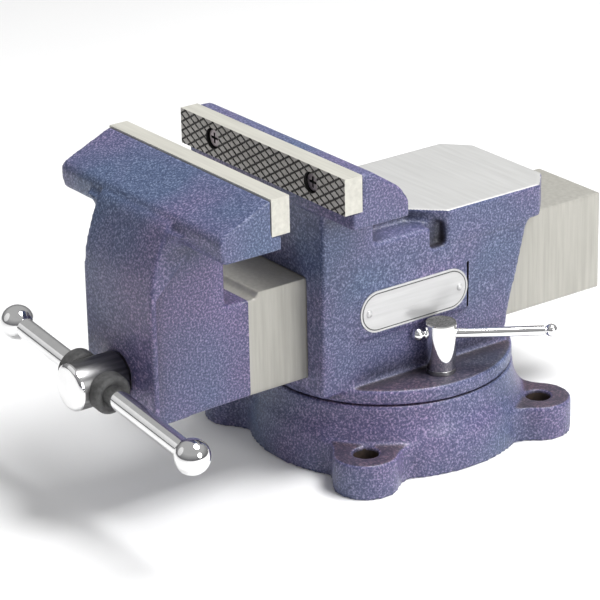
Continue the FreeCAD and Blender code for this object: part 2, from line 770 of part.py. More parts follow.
def spindle_screw():
    """Journal and screw in one bar, cross-drilled for the collar pin."""
    body = new_body("spindle_screw")
    radius, z = S["spindle_radius"], S["spindle_z"]
    bar = new_sketch(body, "bar", "XZ_Plane", -S["head_rear"])
    circle(bar, 0.0, z, radius)
    pad(body, bar, S["spindle_end"] - S["head_rear"], reverse=True)
    hole = new_sketch(body, "pin_hole", "XY_Plane", z)
    circle(hole, 0.0, COLLAR_PIN_Y, 2.05)
    pocket(body, hole, radius * 4.0, both_sides=True)
    return body


def spindle_head():
    """Round head at the operator's end, cross-bored along the handle."""
    head = cylinder("head_round", S["head_radius"], S["head_rear"] - S["head_front"],
                    (0, S["head_front"], S["spindle_z"]), (0, 1, 0))
    bore = handle_cylinder("head_bore", S["handle_radius"] + S["running_gap"], -20.0, 20.0)
    cut = combine("Cut", "head_drilled", [head, bore])
    DOC.recompute()
    chamfer = DOC.addObject("Part::Chamfer", "spindle_head")
    chamfer.Base = cut
    radius = number(S["head_radius"])
    edges = [
        (i, 1.5, 1.5) for i, e in enumerate(cut.Shape.Edges, start=1)
        if abs(e.BoundBox.XLength - 2 * radius) < 0.01 and e.BoundBox.YLength < 0.01
        and abs(e.BoundBox.YMin - number(S["head_front"])) < 0.01
    ]
    chamfer.Edges = edges
    return as_node(chamfer, "spindle_head")


WALL_Y = S["channel_front"]
WASHER_THICK = 2.5
SPRING_LENGTH = 14.0
COLLAR_LENGTH = 8.0
COLLAR_FRONT = number(WALL_Y) + WASHER_THICK + SPRING_LENGTH + 0.3
COLLAR_PIN_Y = COLLAR_FRONT + COLLAR_LENGTH / 2


def ring_on_spindle(label, outer, start, length, gap):
    """Plain ring round the spindle."""
    centre = (0, start, S["spindle_z"])
    outside = cylinder(label + "_outside", outer, length, centre, (0, 1, 0))
    inside = cylinder(label + "_inside", S["spindle_radius"] + gap, length, centre, (0, 1, 0))
    return combine("Cut", label, [outside, inside])


def thrust_washer():
    """Washer between the jaw's inner wall and the spring."""
    ring = ring_on_spindle("thrust_washer", 15.5, number(WALL_Y) + 0.15, WASHER_THICK, 0.1)
    return as_node(ring, "thrust_washer")


def retaining_spring():
    """Coil spring that takes up the play, as a stack of turns."""
    turns = 3
    wire = 1.5
    coil_radius = number(S["spindle_radius"]) + 0.4 + wire
    start = number(WALL_Y) + 0.15 + WASHER_THICK + wire
    length = SPRING_LENGTH - 2 * wire
    helix = Part.makeHelix(length / turns, length, coil_radius)
    profile = Part.Wire([Part.makeCircle(wire, Vector(coil_radius, 0, 0), Vector(0, 1, 0))])
    solid = Part.Wire(helix.Edges).makePipeShell([profile], True, True)
    spring = DOC.addObject("Part::Feature", "retaining_spring")
    spring.Shape = solid
    turn = Rotation(Vector(0, 0, 1), Vector(0, 1, 0))
    spring.Placement = Placement(Vector(0, start, number(S["spindle_z"])), turn)
    return as_node(spring, "retaining_spring")


def retaining_collar():
    """Collar that the pin holds on the spindle."""
    ring = ring_on_spindle("collar_ring", 15.0, COLLAR_FRONT, COLLAR_LENGTH, 0.1)
    hole = cylinder("collar_hole", 2.05, 40.0,
                    (0, COLLAR_PIN_Y, S["spindle_z"] - 20.0), (0, 0, 1))
    return as_node(combine("Cut", "retaining_collar", [ring, hole]), "retaining_collar")


def collar_pin():
    """Cross pin through collar and spindle."""
    pin = cylinder("collar_pin", 2.0, 31.0,
                   (0, COLLAR_PIN_Y, S["spindle_z"] - 15.5), (0, 0, 1))
    return as_node(pin, "collar_pin")


# ---------------------------------------------------------------- handle

TILT = math.radians(DIMENSIONS["handle_tilt"])
HANDLE_AXIS = Vector(math.cos(TILT), 0, -math.sin(TILT))
HANDLE_CENTRE = Vector(0, number(S["handle_y"]), number(S["spindle_z"]))


def handle_cylinder(name, radius, start, end):
    """Cylinder along the handle between two distances from the spindle axis."""
    base = HANDLE_CENTRE + HANDLE_AXIS * start
    return cylinder(name, radius, end - start, tuple(base), tuple(HANDLE_AXIS))


def handle():
    """Sliding bar with a ball pressed on each end."""
    half = number(S["handle_ball_spacing"]) / 2
    shift = number(S["handle_shift"])
    ends = {"left": shift - half, "right": shift + half}
    bar = handle_cylinder("handle_bar", S["handle_radius"], ends["left"], ends["right"])
    as_node(bar, "handle_bar")
    for side, distance in ends.items():
        ball = DOC.addObject("Part::Sphere", "ball_" + side)
        bind(ball, "Radius", S["handle_ball_radius"])
        ball.Placement = Placement(HANDLE_CENTRE + HANDLE_AXIS * distance, Rotation())
        reach = -12.0 if side == "right" else 12.0
        low, high = sorted((distance, distance + reach))
        socket = handle_cylinder("socket_" + side, S["handle_radius"], low, high)
        as_node(combine("Cut", "handle_ball_" + side, [ball, socket]), "handle_ball_" + side)


def handle_rings():
    """Rubber bumpers on the bar, shaped to the head and dished outside."""
    near = number(S["head_radius"]) - 1.6
    width = number(S["ring_width"])
    for side, sign in (("left", -1), ("right", 1)):
        low, high = sorted((sign * near, sign * (near + width)))
        outside = handle_cylinder("ring_outside_" + side, S["ring_radius"], low, high)
        inside = handle_cylinder("ring_inside_" + side, S["handle_radius"] + S["running_gap"],
                                 low - 1.0, high + 1.0)
        saddle = cylinder("ring_saddle_" + side, S["head_radius"] + 0.02, 60.0,
                          (0, -220.0, S["spindle_z"]), (0, 1, 0))
        dish = DOC.addObject("Part::Cone", "ring_dish_" + side)
        dish.Radius1, dish.Radius2, dish.Height = 5.7, 9.0, 5.0
        base = HANDLE_CENTRE + HANDLE_AXIS * (sign * (near + width - 4.9))
        dish.Placement = Placement(base, Rotation(Vector(0, 0, 1), HANDLE_AXIS * sign))
        tools = combine("Fuse", "ring_tools_" + side, [inside, saddle, dish])
        as_node(combine("Cut", "handle_ring_" + side, [outside, tools]), "handle_ring_" + side)


# ---------------------------------------------------------------- swivel locks

LOCK_SIDES = (("right", 1), ("left", -1))
WASHER_TOP = 51.4


def lock_axis(side, z):
    """Point on a lock's axis; the left lock is the right one turned about Z."""
    return Vector(side * number(S["lock_x"]), side * number(S["lock_y"]), number(z))


def lever_direction(side):
    """Direction of a lock lever; the left one lies along the casting's wall."""
    if side < 0:
        return Vector(0, 1, 0)
    angle = math.radians(DIMENSIONS["lever_angle"])
    return Vector(math.cos(angle), math.sin(angle), 0)


def lock_screw(name, side):
    """Barrel with its stud and the cross bore for the lever."""
    barrel = cylinder("barrel_" + name, S["barrel_radius"], S["barrel_top"] - WASHER_TOP,
                      tuple(lock_axis(side, WASHER_TOP)), (0, 0, 1))
    stud_bottom = 20.5
    stud = cylinder("stud_" + name, S["stud_radius"], WASHER_TOP - stud_bottom + 1.0,
                    tuple(lock_axis(side, stud_bottom)), (0, 0, 1))
    solid = combine("Fuse", "lock_solid_" + name, [barrel, stud])
    direction = lever_direction(side)
    base = lock_axis(side, S["lever_z"]) - direction * 15.0
    bore = cylinder("lock_bore_" + name, S["lever_radius"] + S["running_gap"], 30.0,
                    tuple(base), tuple(direction))
    label = "lock_screw_" + name
    return as_node(combine("Cut", label, [solid, bore]), label)


def lock_washer(name, side):
    """Flat washer between the barrel and the flange."""
    base = tuple(lock_axis(side, S["flange_top"]))
    thick = WASHER_TOP - number(S["flange_top"]) - 0.1
    outside = cylinder("washer_outside_" + name, 8.0, thick, base, (0, 0, 1))
    inside = cylinder("washer_inside_" + name, S["stud_radius"] + 0.3, thick, base, (0, 0, 1))
    label = "lock_washer_" + name
    return as_node(combine("Cut", label, [outside, inside]), label)


def clamp_nut(name, side):
    """T-nut in the base's annular slot."""
    corner = lock_axis(side, 19.4) - Vector(9.5, 9.0, 0)
    block = DOC.addObject("Part::Box", "nut_block_" + name)
    block.Length, block.Width, block.Height = 19.0, 18.0, 11.0
    block.Placement = Placement(corner, Rotation())
    hole = cylinder("nut_hole_" + name, S["stud_radius"] + S["running_gap"], 13.0,
                    tuple(lock_axis(side, 18.4)), (0, 0, 1))
    label = "clamp_nut_" + name
    return as_node(combine("Cut", label, [block, hole]), label)


def lock_lever(name, side):
    """Cross bar with a knob at each end; one is pushed in, the other is mid-slid."""
    direction = lever_direction(side)
    spacing = number(S["lever_knob_spacing"])
    near = number(S["barrel_radius"]) + number(S["lever_knob_radius"]) + 0.1
    if side < 0:
        near = spacing / 2
    start = lock_axis(side, S["lever_z"]) - direction * near
    bar = cylinder("lever_bar_" + name, S["lever_radius"], spacing, tuple(start), tuple(direction))
    pieces = [bar]
    for end, distance in (("near", 0.0), ("far", spacing)):
        knob = DOC.addObject("Part::Sphere", "lever_knob_%s_%s" % (end, name))
        bind(knob, "Radius", S["lever_knob_radius"])
        knob.Placement = Placement(start + direction * distance, Rotation())
        pieces.append(knob)
    label = "lock_lever_" + name
    return as_node(combine("Fuse", label, pieces), label)


# ---------------------------------------------------------------- build, check, write

def build():
    """Every sub-part of the vise."""
    swivel_base()
    rear_body()
    front_jaw()
    jaw_plate("rear_jaw_plate", S["rear_plate_face"], REAR_SEAT)
    jaw_plate("front_jaw_plate", FRONT_PLATE_FACE, FRONT_SEAT)
    plate_screws("rear_jaw_screws", S["rear_plate_face"], 1)
    plate_screws("front_jaw_screws", FRONT_PLATE_FACE, -1)
    nameplate()
    nameplate_rivets()
    spindle_nut()
    spindle_nut_bolt()
    spindle_screw()
    spindle_head()
    thrust_washer()
    retaining_spring()
    retaining_collar()
    collar_pin()
    handle()
    handle_rings()
    for name, side in LOCK_SIDES:
        lock_screw(name, side)
        lock_washer(name, side)
        clamp_nut(name, side)
        lock_lever(name, side)


def check():
    """Stop if any object failed or any node's shape is not sound."""
    for obj in DOC.Objects:
        if "Invalid" in obj.State or "Error" in obj.State:
            raise RuntimeError("%s failed: %s" % (obj.Name, obj.State))
    for node in NODES:
        if node.Shape.isNull() or not node.Shape.isValid():
            raise RuntimeError(node.Label + " has no valid shape")


def write():
    """One STEP file for each node."""
    os.makedirs("parts", exist_ok=True)
    for node in NODES:
        node.Shape.exportStep("parts/%s.step" % node.Label)
        box = node.Shape.BoundBox
        print("%-20s %10.0f mm3  %d solids  x %.1f..%.1f  y %.1f..%.1f  z %.1f..%.1f" % (
            node.Label, node.Shape.Volume, len(node.Shape.Solids),
            box.XMin, box.XMax, box.YMin, box.YMax, box.ZMin, box.ZMax))


build()
DOC.recompute()
check()
write()
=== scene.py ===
import json
import math

import bmesh
import bpy
import numpy as np
from mathutils import Matrix, Vector


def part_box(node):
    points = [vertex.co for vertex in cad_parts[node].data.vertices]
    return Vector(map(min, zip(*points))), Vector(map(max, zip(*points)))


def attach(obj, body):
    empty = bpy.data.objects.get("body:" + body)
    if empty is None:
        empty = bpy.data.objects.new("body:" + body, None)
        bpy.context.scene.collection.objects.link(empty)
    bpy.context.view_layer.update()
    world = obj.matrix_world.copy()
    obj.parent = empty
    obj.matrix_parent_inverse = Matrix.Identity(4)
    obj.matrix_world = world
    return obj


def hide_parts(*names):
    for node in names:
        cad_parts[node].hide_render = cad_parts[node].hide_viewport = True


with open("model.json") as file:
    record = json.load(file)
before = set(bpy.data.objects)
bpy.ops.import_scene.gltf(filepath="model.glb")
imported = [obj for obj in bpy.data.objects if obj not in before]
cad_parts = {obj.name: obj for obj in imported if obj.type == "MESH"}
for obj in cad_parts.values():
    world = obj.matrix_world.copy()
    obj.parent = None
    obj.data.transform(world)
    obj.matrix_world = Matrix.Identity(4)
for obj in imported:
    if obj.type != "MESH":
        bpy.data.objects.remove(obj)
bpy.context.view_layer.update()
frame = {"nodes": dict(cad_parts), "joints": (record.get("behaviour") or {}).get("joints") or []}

NODES = frame["nodes"]
JOINTS = {joint["name"]: joint for joint in frame["joints"]}
MM = 0.001
ANY = math.inf


# ---------------------------------------------------------------- materials
# Lengths in this part are in metres.

ENAMEL_GRAIN = 880.0
ENAMEL_DRIFT = 13.0
METAL_MARKS = 420.0

# Low ledges that look up are darkened, partly as grime and partly as painted shade.
LEDGE_HEIGHT = 0.054
LEDGE_FADE = 0.002
LEDGE_TILT = (0.8, 0.97)
LEDGE_GRIME_AND_SHADE = (0.52, 0.42, 0.34)

# Painted shade: the enamel goes near-black where its own walls are close.
CREVICE_SHADE_REACH = 0.018
CREVICE_OPEN = (0.42, 0.94)
CREVICE_SHADE_COLOUR = (0.014, 0.010, 0.010)
CREVICE_SAMPLES = 8

MIX_FACTOR, MIX_FIRST, MIX_SECOND = 0, 6, 7
MIX_COLOUR_OUT = 2


class Shader:
    """A new material and short ways to add nodes to it."""

    def __init__(self, name, metallic, roughness, coat=0.0):
        self.material = bpy.data.materials.new(name)
        self.material.use_nodes = True
        self.tree = self.material.node_tree
        self.surface = self.tree.nodes["Principled BSDF"]
        self.surface.inputs["Metallic"].default_value = metallic
        self.surface.inputs["Roughness"].default_value = roughness
        self.surface.inputs["Coat Weight"].default_value = coat
        coordinates = self.tree.nodes.new("ShaderNodeTexCoord")
        self.place = coordinates.outputs["Object"]
        self.normal = coordinates.outputs["Normal"]

    def link(self, source, node, socket):
        self.tree.links.new(source, node.inputs[socket])

    def stretched(self, scale):
        """Object coordinates scaled separately along X, Y and Z."""
        mapping = self.tree.nodes.new("ShaderNodeMapping")
        mapping.inputs["Scale"].default_value = scale
        self.link(self.place, mapping, "Vector")
        return mapping.outputs["Vector"]

    def noise(self, scale, detail=2.0, roughness=0.5, place=None):
        node = self.tree.nodes.new("ShaderNodeTexNoise")
        node.inputs["Scale"].default_value = scale
        node.inputs["Detail"].default_value = detail
        node.inputs["Roughness"].default_value = roughness
        self.link(place or self.place, node, "Vector")
        return node.outputs["Fac"]

    def ramp(self, factor, stops):
        """Colour from (position, colour) stops."""
        node = self.tree.nodes.new("ShaderNodeValToRGB")
        elements = node.color_ramp.elements
        while len(elements) < len(stops):
            elements.new(0.5)
        for element, (position, colour) in zip(elements, stops):
            element.position = position
            element.color = (*colour, 1.0)
        self.link(factor, node, "Fac")
        return node.outputs["Color"]

    def blend(self, kind, factor, first, second):
        """Colour mix; each of the last three is a socket or a constant."""
        node = self.tree.nodes.new("ShaderNodeMix")
        node.data_type = "RGBA"
        node.blend_type = kind
        for socket, source in ((MIX_FACTOR, factor), (MIX_FIRST, first), (MIX_SECOND, second)):
            if isinstance(source, bpy.types.NodeSocket):
                self.link(source, node, socket)
            elif isinstance(source, tuple):
                node.inputs[socket].default_value = (*source, 1.0)
            else:
                node.inputs[socket].default_value = source
        return node.outputs[MIX_COLOUR_OUT]

    def clamp(self, value, low, high):
        """A value mapped from low..high to 0..1."""
        node = self.tree.nodes.new("ShaderNodeMapRange")
        node.inputs["From Min"].default_value = low
        node.inputs["From Max"].default_value = high
        self.link(value, node, "Value")
        return node.outputs["Result"]

    def crevice_shaded(self, colour, deep, reach):
        """Painted shade in the object's own crevices: darkest where its walls are close."""
        node = self.tree.nodes.new("ShaderNodeAmbientOcclusion")
        node.inputs["Distance"].default_value = reach
        node.only_local = True
        node.samples = CREVICE_SAMPLES
        open_air = self.clamp(node.outputs["AO"], *CREVICE_OPEN)
        return self.blend("MIX", open_air, deep, colour)

    def on_low_ledges(self, height):
        """1 on surfaces that look up and lie below a height, 0 elsewhere."""
        facing = self.tree.nodes.new("ShaderNodeSeparateXYZ")
        self.link(self.normal, facing, "Vector")
        place = self.tree.nodes.new("ShaderNodeSeparateXYZ")
        self.link(self.place, place, "Vector")
        both = self.tree.nodes.new("ShaderNodeMath")
        both.operation = "MULTIPLY"
        self.link(self.clamp(facing.outputs["Z"], *LEDGE_TILT), both, 0)
        self.link(self.clamp(place.outputs["Z"], height + LEDGE_FADE, height), both, 1)
        return both.outputs["Value"]

    def colour(self, source):
        self.link(source, self.surface, "Base Color")

    def roughness(self, factor, low, high):
        node = self.tree.nodes.new("ShaderNodeMapRange")
        node.inputs["To Min"].default_value = low
        node.inputs["To Max"].default_value = high
        self.link(factor, node, "Value")
        self.link(node.outputs["Result"], self.surface, "Roughness")

    def bump(self, height, distance, strength):
        node = self.tree.nodes.new("ShaderNodeBump")
        node.inputs["Distance"].default_value = distance
        node.inputs["Strength"].default_value = strength
        self.link(height, node, "Height")
        self.link(node.outputs["Normal"], self.surface, "Normal")


def enamel(name, dark, base, light, cool, warm):
    """Hammered enamel: fine grain on a drifting colour, with painted shade in its own crevices,
    and grime with painted shade on low ledges.
    """
    shader = Shader(name, 0.0, 0.45, coat=0.1)
    grain = shader.noise(ENAMEL_GRAIN, detail=3.0, roughness=0.6)
    colour = shader.ramp(grain, [(0.34, dark), (0.5, base), (0.68, light)])
    drift = shader.ramp(shader.noise(ENAMEL_DRIFT), [(0.36, cool), (0.64, warm)])
    colour = shader.blend("MULTIPLY", 1.0, colour, drift)
    # Low ledges darkened with grime and painted shade.
    ledges = shader.on_low_ledges(LEDGE_HEIGHT)
    colour = shader.blend("MULTIPLY", ledges, colour, LEDGE_GRIME_AND_SHADE)
    # Painted shade in the enamel's own crevices.
    shader.colour(shader.crevice_shaded(colour, CREVICE_SHADE_COLOUR, CREVICE_SHADE_REACH))
    shader.roughness(grain, 0.38, 0.55)
    shader.bump(grain, 0.0004, 0.4)
    return shader.material


def metal(name, low, high, rough, stretch=(1, 1, 1), fine=1.0, metallic=1.0, bump=0.00003):
    """Fine marks between two colours, drawn out along one direction where stretched."""
    shader = Shader(name, metallic, rough)
    marks = shader.noise(METAL_MARKS * fine, detail=3.0, place=shader.stretched(stretch))
    shader.colour(shader.ramp(marks, [(0.3, low), (0.7, high)]))
    shader.roughness(marks, rough * 0.8, rough * 1.2)
    shader.bump(marks, bump, 0.5)
    return shader.material


def grey(level):
    return (level,) * 3


MARKED = {
    # recess: near-black painted shade inside bores, tunnels, hollows and the T-slot.
    "recess": dict(low=(0.016, 0.010, 0.008), high=(0.045, 0.026, 0.018), rough=0.7,
                   metallic=0.0),
    "machined": dict(low=(0.36, 0.35, 0.315), high=(0.44, 0.43, 0.39), rough=0.42,
                     stretch=(1, 1, 0.06), metallic=0.35),
    "anvil": dict(low=(0.50, 0.50, 0.49), high=(0.56, 0.56, 0.55), rough=0.4,
                  stretch=(0.06, 1, 1), metallic=0.3),
    "plate": dict(low=(0.50, 0.49, 0.44), high=(0.60, 0.59, 0.53), rough=0.42,
                  stretch=(0.05, 1, 1), metallic=0.3),
    "face": dict(low=(0.38, 0.365, 0.34), high=(0.52, 0.50, 0.47), rough=0.5, metallic=0.2),
    # groove: near-black painted shade in the jaw plates' grooves.
    "groove": dict(low=(0.02, 0.018, 0.016), high=(0.04, 0.036, 0.032), rough=0.6,
                   metallic=0.0),
    "chrome": dict(low=grey(0.80), high=grey(0.90), rough=0.07, fine=0.2, bump=0.000002),
    "polished": dict(low=grey(0.50), high=grey(0.56), rough=0.22, stretch=(1, 0.05, 1),
                     metallic=0.4),
    "border": dict(low=grey(0.015), high=grey(0.04), rough=0.5, metallic=0.0),
    "dark_steel": dict(low=grey(0.13), high=grey(0.24), rough=0.36, stretch=(1, 0.08, 1)),
    "steel": dict(low=grey(0.32), high=grey(0.46), rough=0.34),
    "black": dict(low=grey(0.012), high=grey(0.035), rough=0.5, metallic=0.3),
    "screw": dict(low=(0.30, 0.26, 0.27), high=(0.44, 0.39, 0.40), rough=0.42),
    "rough": dict(low=grey(0.02), high=grey(0.16), rough=0.6, fine=2.5, metallic=0.3,
                  bump=0.0004),
    "rubber": dict(low=grey(0.05), high=grey(0.10), rough=0.62, metallic=0.0, bump=0.0001),
}
MATERIALS = {
    "enamel": enamel("enamel", dark=(0.034, 0.043, 0.100), base=(0.068, 0.079, 0.160),
                     light=(0.255, 0.245, 0.370), cool=(0.74, 0.98, 1.0),
                     warm=(1.28, 1.0, 1.10)),
}
for material_name, look in MARKED.items():
    MATERIALS[material_name] = metal(material_name, **look)


# ---------------------------------------------------------------- mesh helpers
# Lengths are in millimetres from here on, and turned into metres by MM.

def box_of(node):
    """Lowest and highest corners of a CAD node at rest."""
    low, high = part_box(node)
    return low / MM, high / MM


def middle_of(node):
    low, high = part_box(node)
    return (low + high) / 2 / MM


def new_object(name, mesh, materials):
    obj = bpy.data.objects.new(name, mesh)
    bpy.context.scene.collection.objects.link(obj)
    if mesh.materials:
        mesh.materials.clear()
    for material in materials:
        obj.data.materials.append(MATERIALS[material])
    return obj


def built(build, name):
    """A mesh made from a BMesh, which is freed."""
    mesh = bpy.data.meshes.new(name)
    build.to_mesh(mesh)
    build.free()
    return mesh


def settle(obj):
    """Replace the object's mesh by what its modifiers make of it."""
    graph = bpy.context.evaluated_depsgraph_get()
    obj.data = bpy.data.meshes.new_from_object(obj.evaluated_get(graph))
    obj.modifiers.clear()


def shade(obj, degrees=35.0):
    """Smooth shading, with edges sharper than an angle kept sharp."""
    obj.data.shade_smooth()
    obj.data.set_sharp_from_angle(angle=math.radians(degrees))


def vertex_places(mesh):
    places = np.empty(len(mesh.vertices) * 3)
    mesh.vertices.foreach_get("co", places)
    return places.reshape(-1, 3) / MM


def face_places(mesh):
    """Centre and normal of every face."""
    centres = np.empty(len(mesh.polygons) * 3)
    normals = np.empty(len(mesh.polygons) * 3)
    mesh.polygons.foreach_get("center", centres)
    mesh.polygons.foreach_get("normal", normals)
    return centres.reshape(-1, 3) / MM, normals.reshape(-1, 3)


def within(places, box):
    """Which places lie inside a box, given as its lowest and highest corners."""
    low, high = box
    return ((places > low) & (places < high)).all(axis=1)


def paint(obj, slots):
    obj.data.polygons.foreach_set("material_index", slots.astype(np.int32))
    obj.data.update()


def turned(name, profile, origin, axis, materials, bands=None, segments=64):
    """Solid of revolution from (distance, radius) pairs, closed at both ends."""
    turn = Vector((0, 0, 1)).rotation_difference(Vector(axis)).to_matrix()
    build = bmesh.new()
    rings = []
    for distance, radius in profile:
        ring = []
        for step in range(segments):
            angle = 2 * math.pi * step / segments
            point = Vector((radius * math.cos(angle), radius * math.sin(angle), distance))
            ring.append(build.verts.new((Vector(origin) + turn @ point) * MM))
        rings.append(ring)
    for index, (low, high) in enumerate(zip(rings, rings[1:])):
        for step in range(segments):
            after = (step + 1) % segments
            face = build.faces.new((low[step], low[after], high[after], high[step]))
            face.material_index = bands[index] if bands else 0
    for index, ring in ((0, rings[0][::-1]), (-1, rings[-1])):
        face = build.faces.new(ring)
        face.material_index = bands[index] if bands else 0
    obj = new_object(name, built(build, name), materials)
    shade(obj)
    return obj


def arc(centre, radius, start, end, steps=8):
    """Profile points on an arc about (centre distance, centre radius), angles in degrees."""
    points = []
    for step in range(steps + 1):
        angle = math.radians(start + (end - start) * step / steps)
        points.append((centre[0] + radius * math.cos(angle),
                       centre[1] + radius * math.sin(angle)))
    return points


def ball(centre, radius):
    """Profile of a ball about a distance along the axis, just open at both poles."""
    return arc((centre, 0.0), radius, 178.0, 2.0, 32)


def cutter(name, low, high):
    """Plain block between two corners."""
    low, high = Vector(low), Vector(high)
    build = bmesh.new()
    bmesh.ops.create_cube(build, size=1.0, matrix=Matrix.LocRotScale(
        (low + high) / 2 * MM, None, (high - low) * MM))
    return new_object(name, built(build, name), ["black"])


def cut(obj, tool):
    """Take a tool away from an object, and remove the tool."""
    modifier = obj.modifiers.new("cut", "BOOLEAN")
    modifier.operation = "DIFFERENCE"
    modifier.solver = "EXACT"
    modifier.object = tool
    settle(obj)
    bpy.data.objects.remove(tool)


# ---------------------------------------------------------------- castings

# The recess slot carries painted shade.
CASTING_MATERIALS = ["enamel", "machined", "anvil", "recess"]
MACHINED, ANVIL, RECESS_SHADE = 1, 2, 3
VOXEL = 1.25
WEAR = 0.5
CASTING_SHARP_ANGLE = 50.0
LOOKS_UP = 0.8

SLIDE_FACES = ((-ANY, -111.8, -ANY), (ANY, ANY, ANY))
SLIDE_CHANNEL = ((-16.9, -139.5, -ANY), (16.9, ANY, 97.9))
SLIDE_CRISP = ((-ANY, -113.5, -ANY), (ANY, ANY, 116.0))
ANVIL_FACE = ((-ANY, -40.0, 137.0), (ANY, ANY, 139.0))
ANVIL_CRISP = ((-ANY, -39.0, 136.0), (ANY, ANY, 139.5))
TUNNEL_FACES = ((-27.2, -73.0, 55.0), (27.2, ANY, 114.8))
TUNNEL_CRISP = ((-28.5, -ANY, 54.0), (28.5, ANY, 116.0))

BOLT_OFFSET = 61.0
BOLT_WALL_REACH = 8.0
BOLT_WALL_TOP = 18.4
T_SLOT_REACH = 68.0
T_SLOT_BOTTOM = 10.0
BASE_FOOT = 0.6
BASE_PASSES = 14


def casting(name, node, body, slot_of, crisp, passes=9, grooves=()):
    """The CAD casting with its cast edges worn round and its machined faces left crisp."""
    obj = new_object(name, NODES[node].data.copy(), CASTING_MATERIALS)
    remesh = obj.modifiers.new("even", "REMESH")
    remesh.mode = "VOXEL"
    remesh.voxel_size = VOXEL * MM
    settle(obj)
    soft = obj.vertex_groups.new(name="cast")
    places = vertex_places(obj.data)
    soft.add([int(i) for i in np.nonzero(~crisp(places))[0]], 1.0, "REPLACE")
    smooth = obj.modifiers.new("worn", "SMOOTH")
    smooth.factor = WEAR
    smooth.iterations = passes
    smooth.vertex_group = soft.name
    settle(obj)
    obj.vertex_groups.clear()
    for low, high in grooves:
        cut(obj, cutter("groove", low, high))
    centres, normals = face_places(obj.data)
    paint(obj, slot_of(centres, normals))
    shade(obj, CASTING_SHARP_ANGLE)
    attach(obj, body)
    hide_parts(node)


def front_jaw_slots(centres, normals):
    slots = np.zeros(len(centres))
    slots[within(centres, SLIDE_FACES)] = MACHINED
    # Painted shade inside the slide's hollow.
    slots[within(centres, SLIDE_CHANNEL)] = RECESS_SHADE
    return slots


def front_jaw_crisp(places):
    return within(places, SLIDE_CRISP)


def rear_body_slots(centres, normals):
    slots = np.zeros(len(centres))
    slots[within(centres, ANVIL_FACE) & (normals[:, 2] > LOOKS_UP)] = ANVIL
    # Painted shade inside the slide's tunnel.
    slots[within(centres, TUNNEL_FACES)] = RECESS_SHADE
    return slots


def rear_body_crisp(places):
    return within(places, ANVIL_CRISP) | within(places, TUNNEL_CRISP)


def swivel_base_slots(centres, normals):
    """Painted shade on the bolt bores and the T-slot walls."""
    x, y, z = centres.T
    slots = np.zeros(len(centres))
    off_bolt = np.hypot(np.abs(x) - BOLT_OFFSET, np.abs(y) - BOLT_OFFSET)
    slots[(off_bolt < BOLT_WALL_REACH) & (z < BOLT_WALL_TOP)] = RECESS_SHADE
    slots[(np.hypot(x, y) < T_SLOT_REACH) & (z > T_SLOT_BOTTOM)] = RECESS_SHADE
    return slots


def swivel_base_crisp(places):
    return places[:, 2] < BASE_FOOT


casting("front_casting", "front_jaw", "front_jaw", front_jaw_slots, front_jaw_crisp)

# A shallow groove in the casting, past one end of the nameplate.
PLATE_LOW, PLATE_HIGH = box_of("nameplate")
PLATE_GROOVE = (Vector((PLATE_HIGH.x - 3.1, PLATE_HIGH.y + 0.1, PLATE_LOW.z - 2.0)),
                Vector((PLATE_HIGH.x + 5.0, PLATE_HIGH.y + 1.8, PLATE_HIGH.z + 1.3)))
casting("rear_casting", "rear_body", "vise_body", rear_body_slots, rear_body_crisp,
        grooves=[PLATE_GROOVE])
casting("base_casting", "swivel_base", "base", swivel_base_slots, swivel_base_crisp,
        passes=BASE_PASSES)


# ---------------------------------------------------------------- jaw plates and screws

GROOVE_ANGLES = (30.0, -30.0)
GROOVE_PITCH = 4.4
GROOVE_WIDTH = 0.55
GROOVE_DEPTH = 0.5
# Groove faces deeper than this get near-black painted shade.
SHADE_FROM_DEPTH = 0.22

PLATE_MATERIALS = ["plate", "face", "groove", "black"]
FACE, GROOVE_SHADE = 1, 2
FACE_COLUMNS, FACE_ROWS = 376, 52
PLAIN_EDGE = 0.3
PLATE_SHARP_ANGLE = 30.0

SCREW_X = 45.0
SCREW_DROP = 10.0
BORE_RADIUS = 5.9
BORE_FROM, BORE_TO = -1.0, 4.0
SCREW_PROFILE = [(0.05, 4.6), (0.5, 5.3), (2.4, 5.3), (5.0, 3.0), (23.0, 3.0)]
CROSS_LONG, CROSS_SHORT = 3.1, 0.75
CROSS_DEPTH = 1.5
CROSS_REACH = 3.6
# Depths between which the crossed recess gets black painted shade.
CROSS_SHADE_DEPTHS = (0.6, 2.0)


def groove(x, z):
    """Depth of the crossed grooves at a point of a jaw plate's face."""
    depth = 0.0
    for degrees in GROOVE_ANGLES:
        angle = math.radians(degrees)
        across = x * math.sin(angle) + z * math.cos(angle)
        off = abs((across / GROOVE_PITCH) % 1.0 - 0.5) * GROOVE_PITCH
        depth = max(depth, 1.0 - off / GROOVE_WIDTH)
    return depth * GROOVE_DEPTH


def grooved_face(build, low, high, face, face_sign):
    """Rows of vertices over a plate's face, joined by faces that carry painted shade in the
    grooves.
    """
    front = []
    for row in range(FACE_ROWS):
        z = low.z + (high.z - low.z) * row / (FACE_ROWS - 1)
        line = []
        for column in range(FACE_COLUMNS):
            x = low.x + (high.x - low.x) * column / (FACE_COLUMNS - 1)
            edge = min(x - low.x, high.x - x, z - low.z, high.z - z)
            depth = groove(x, z) if edge > PLAIN_EDGE else 0.0
            line.append(build.verts.new(Vector((x, face - face_sign * depth, z)) * MM))
        front.append(line)
    for low_line, high_line in zip(front, front[1:]):
        for column in range(FACE_COLUMNS - 1):
            made = build.faces.new((low_line[column], low_line[column + 1],
                                    high_line[column + 1], high_line[column]))
            deepest = max(abs(v.co.y / MM - face) for v in made.verts)
            made.material_index = GROOVE_SHADE if deepest > SHADE_FROM_DEPTH else FACE
    return front


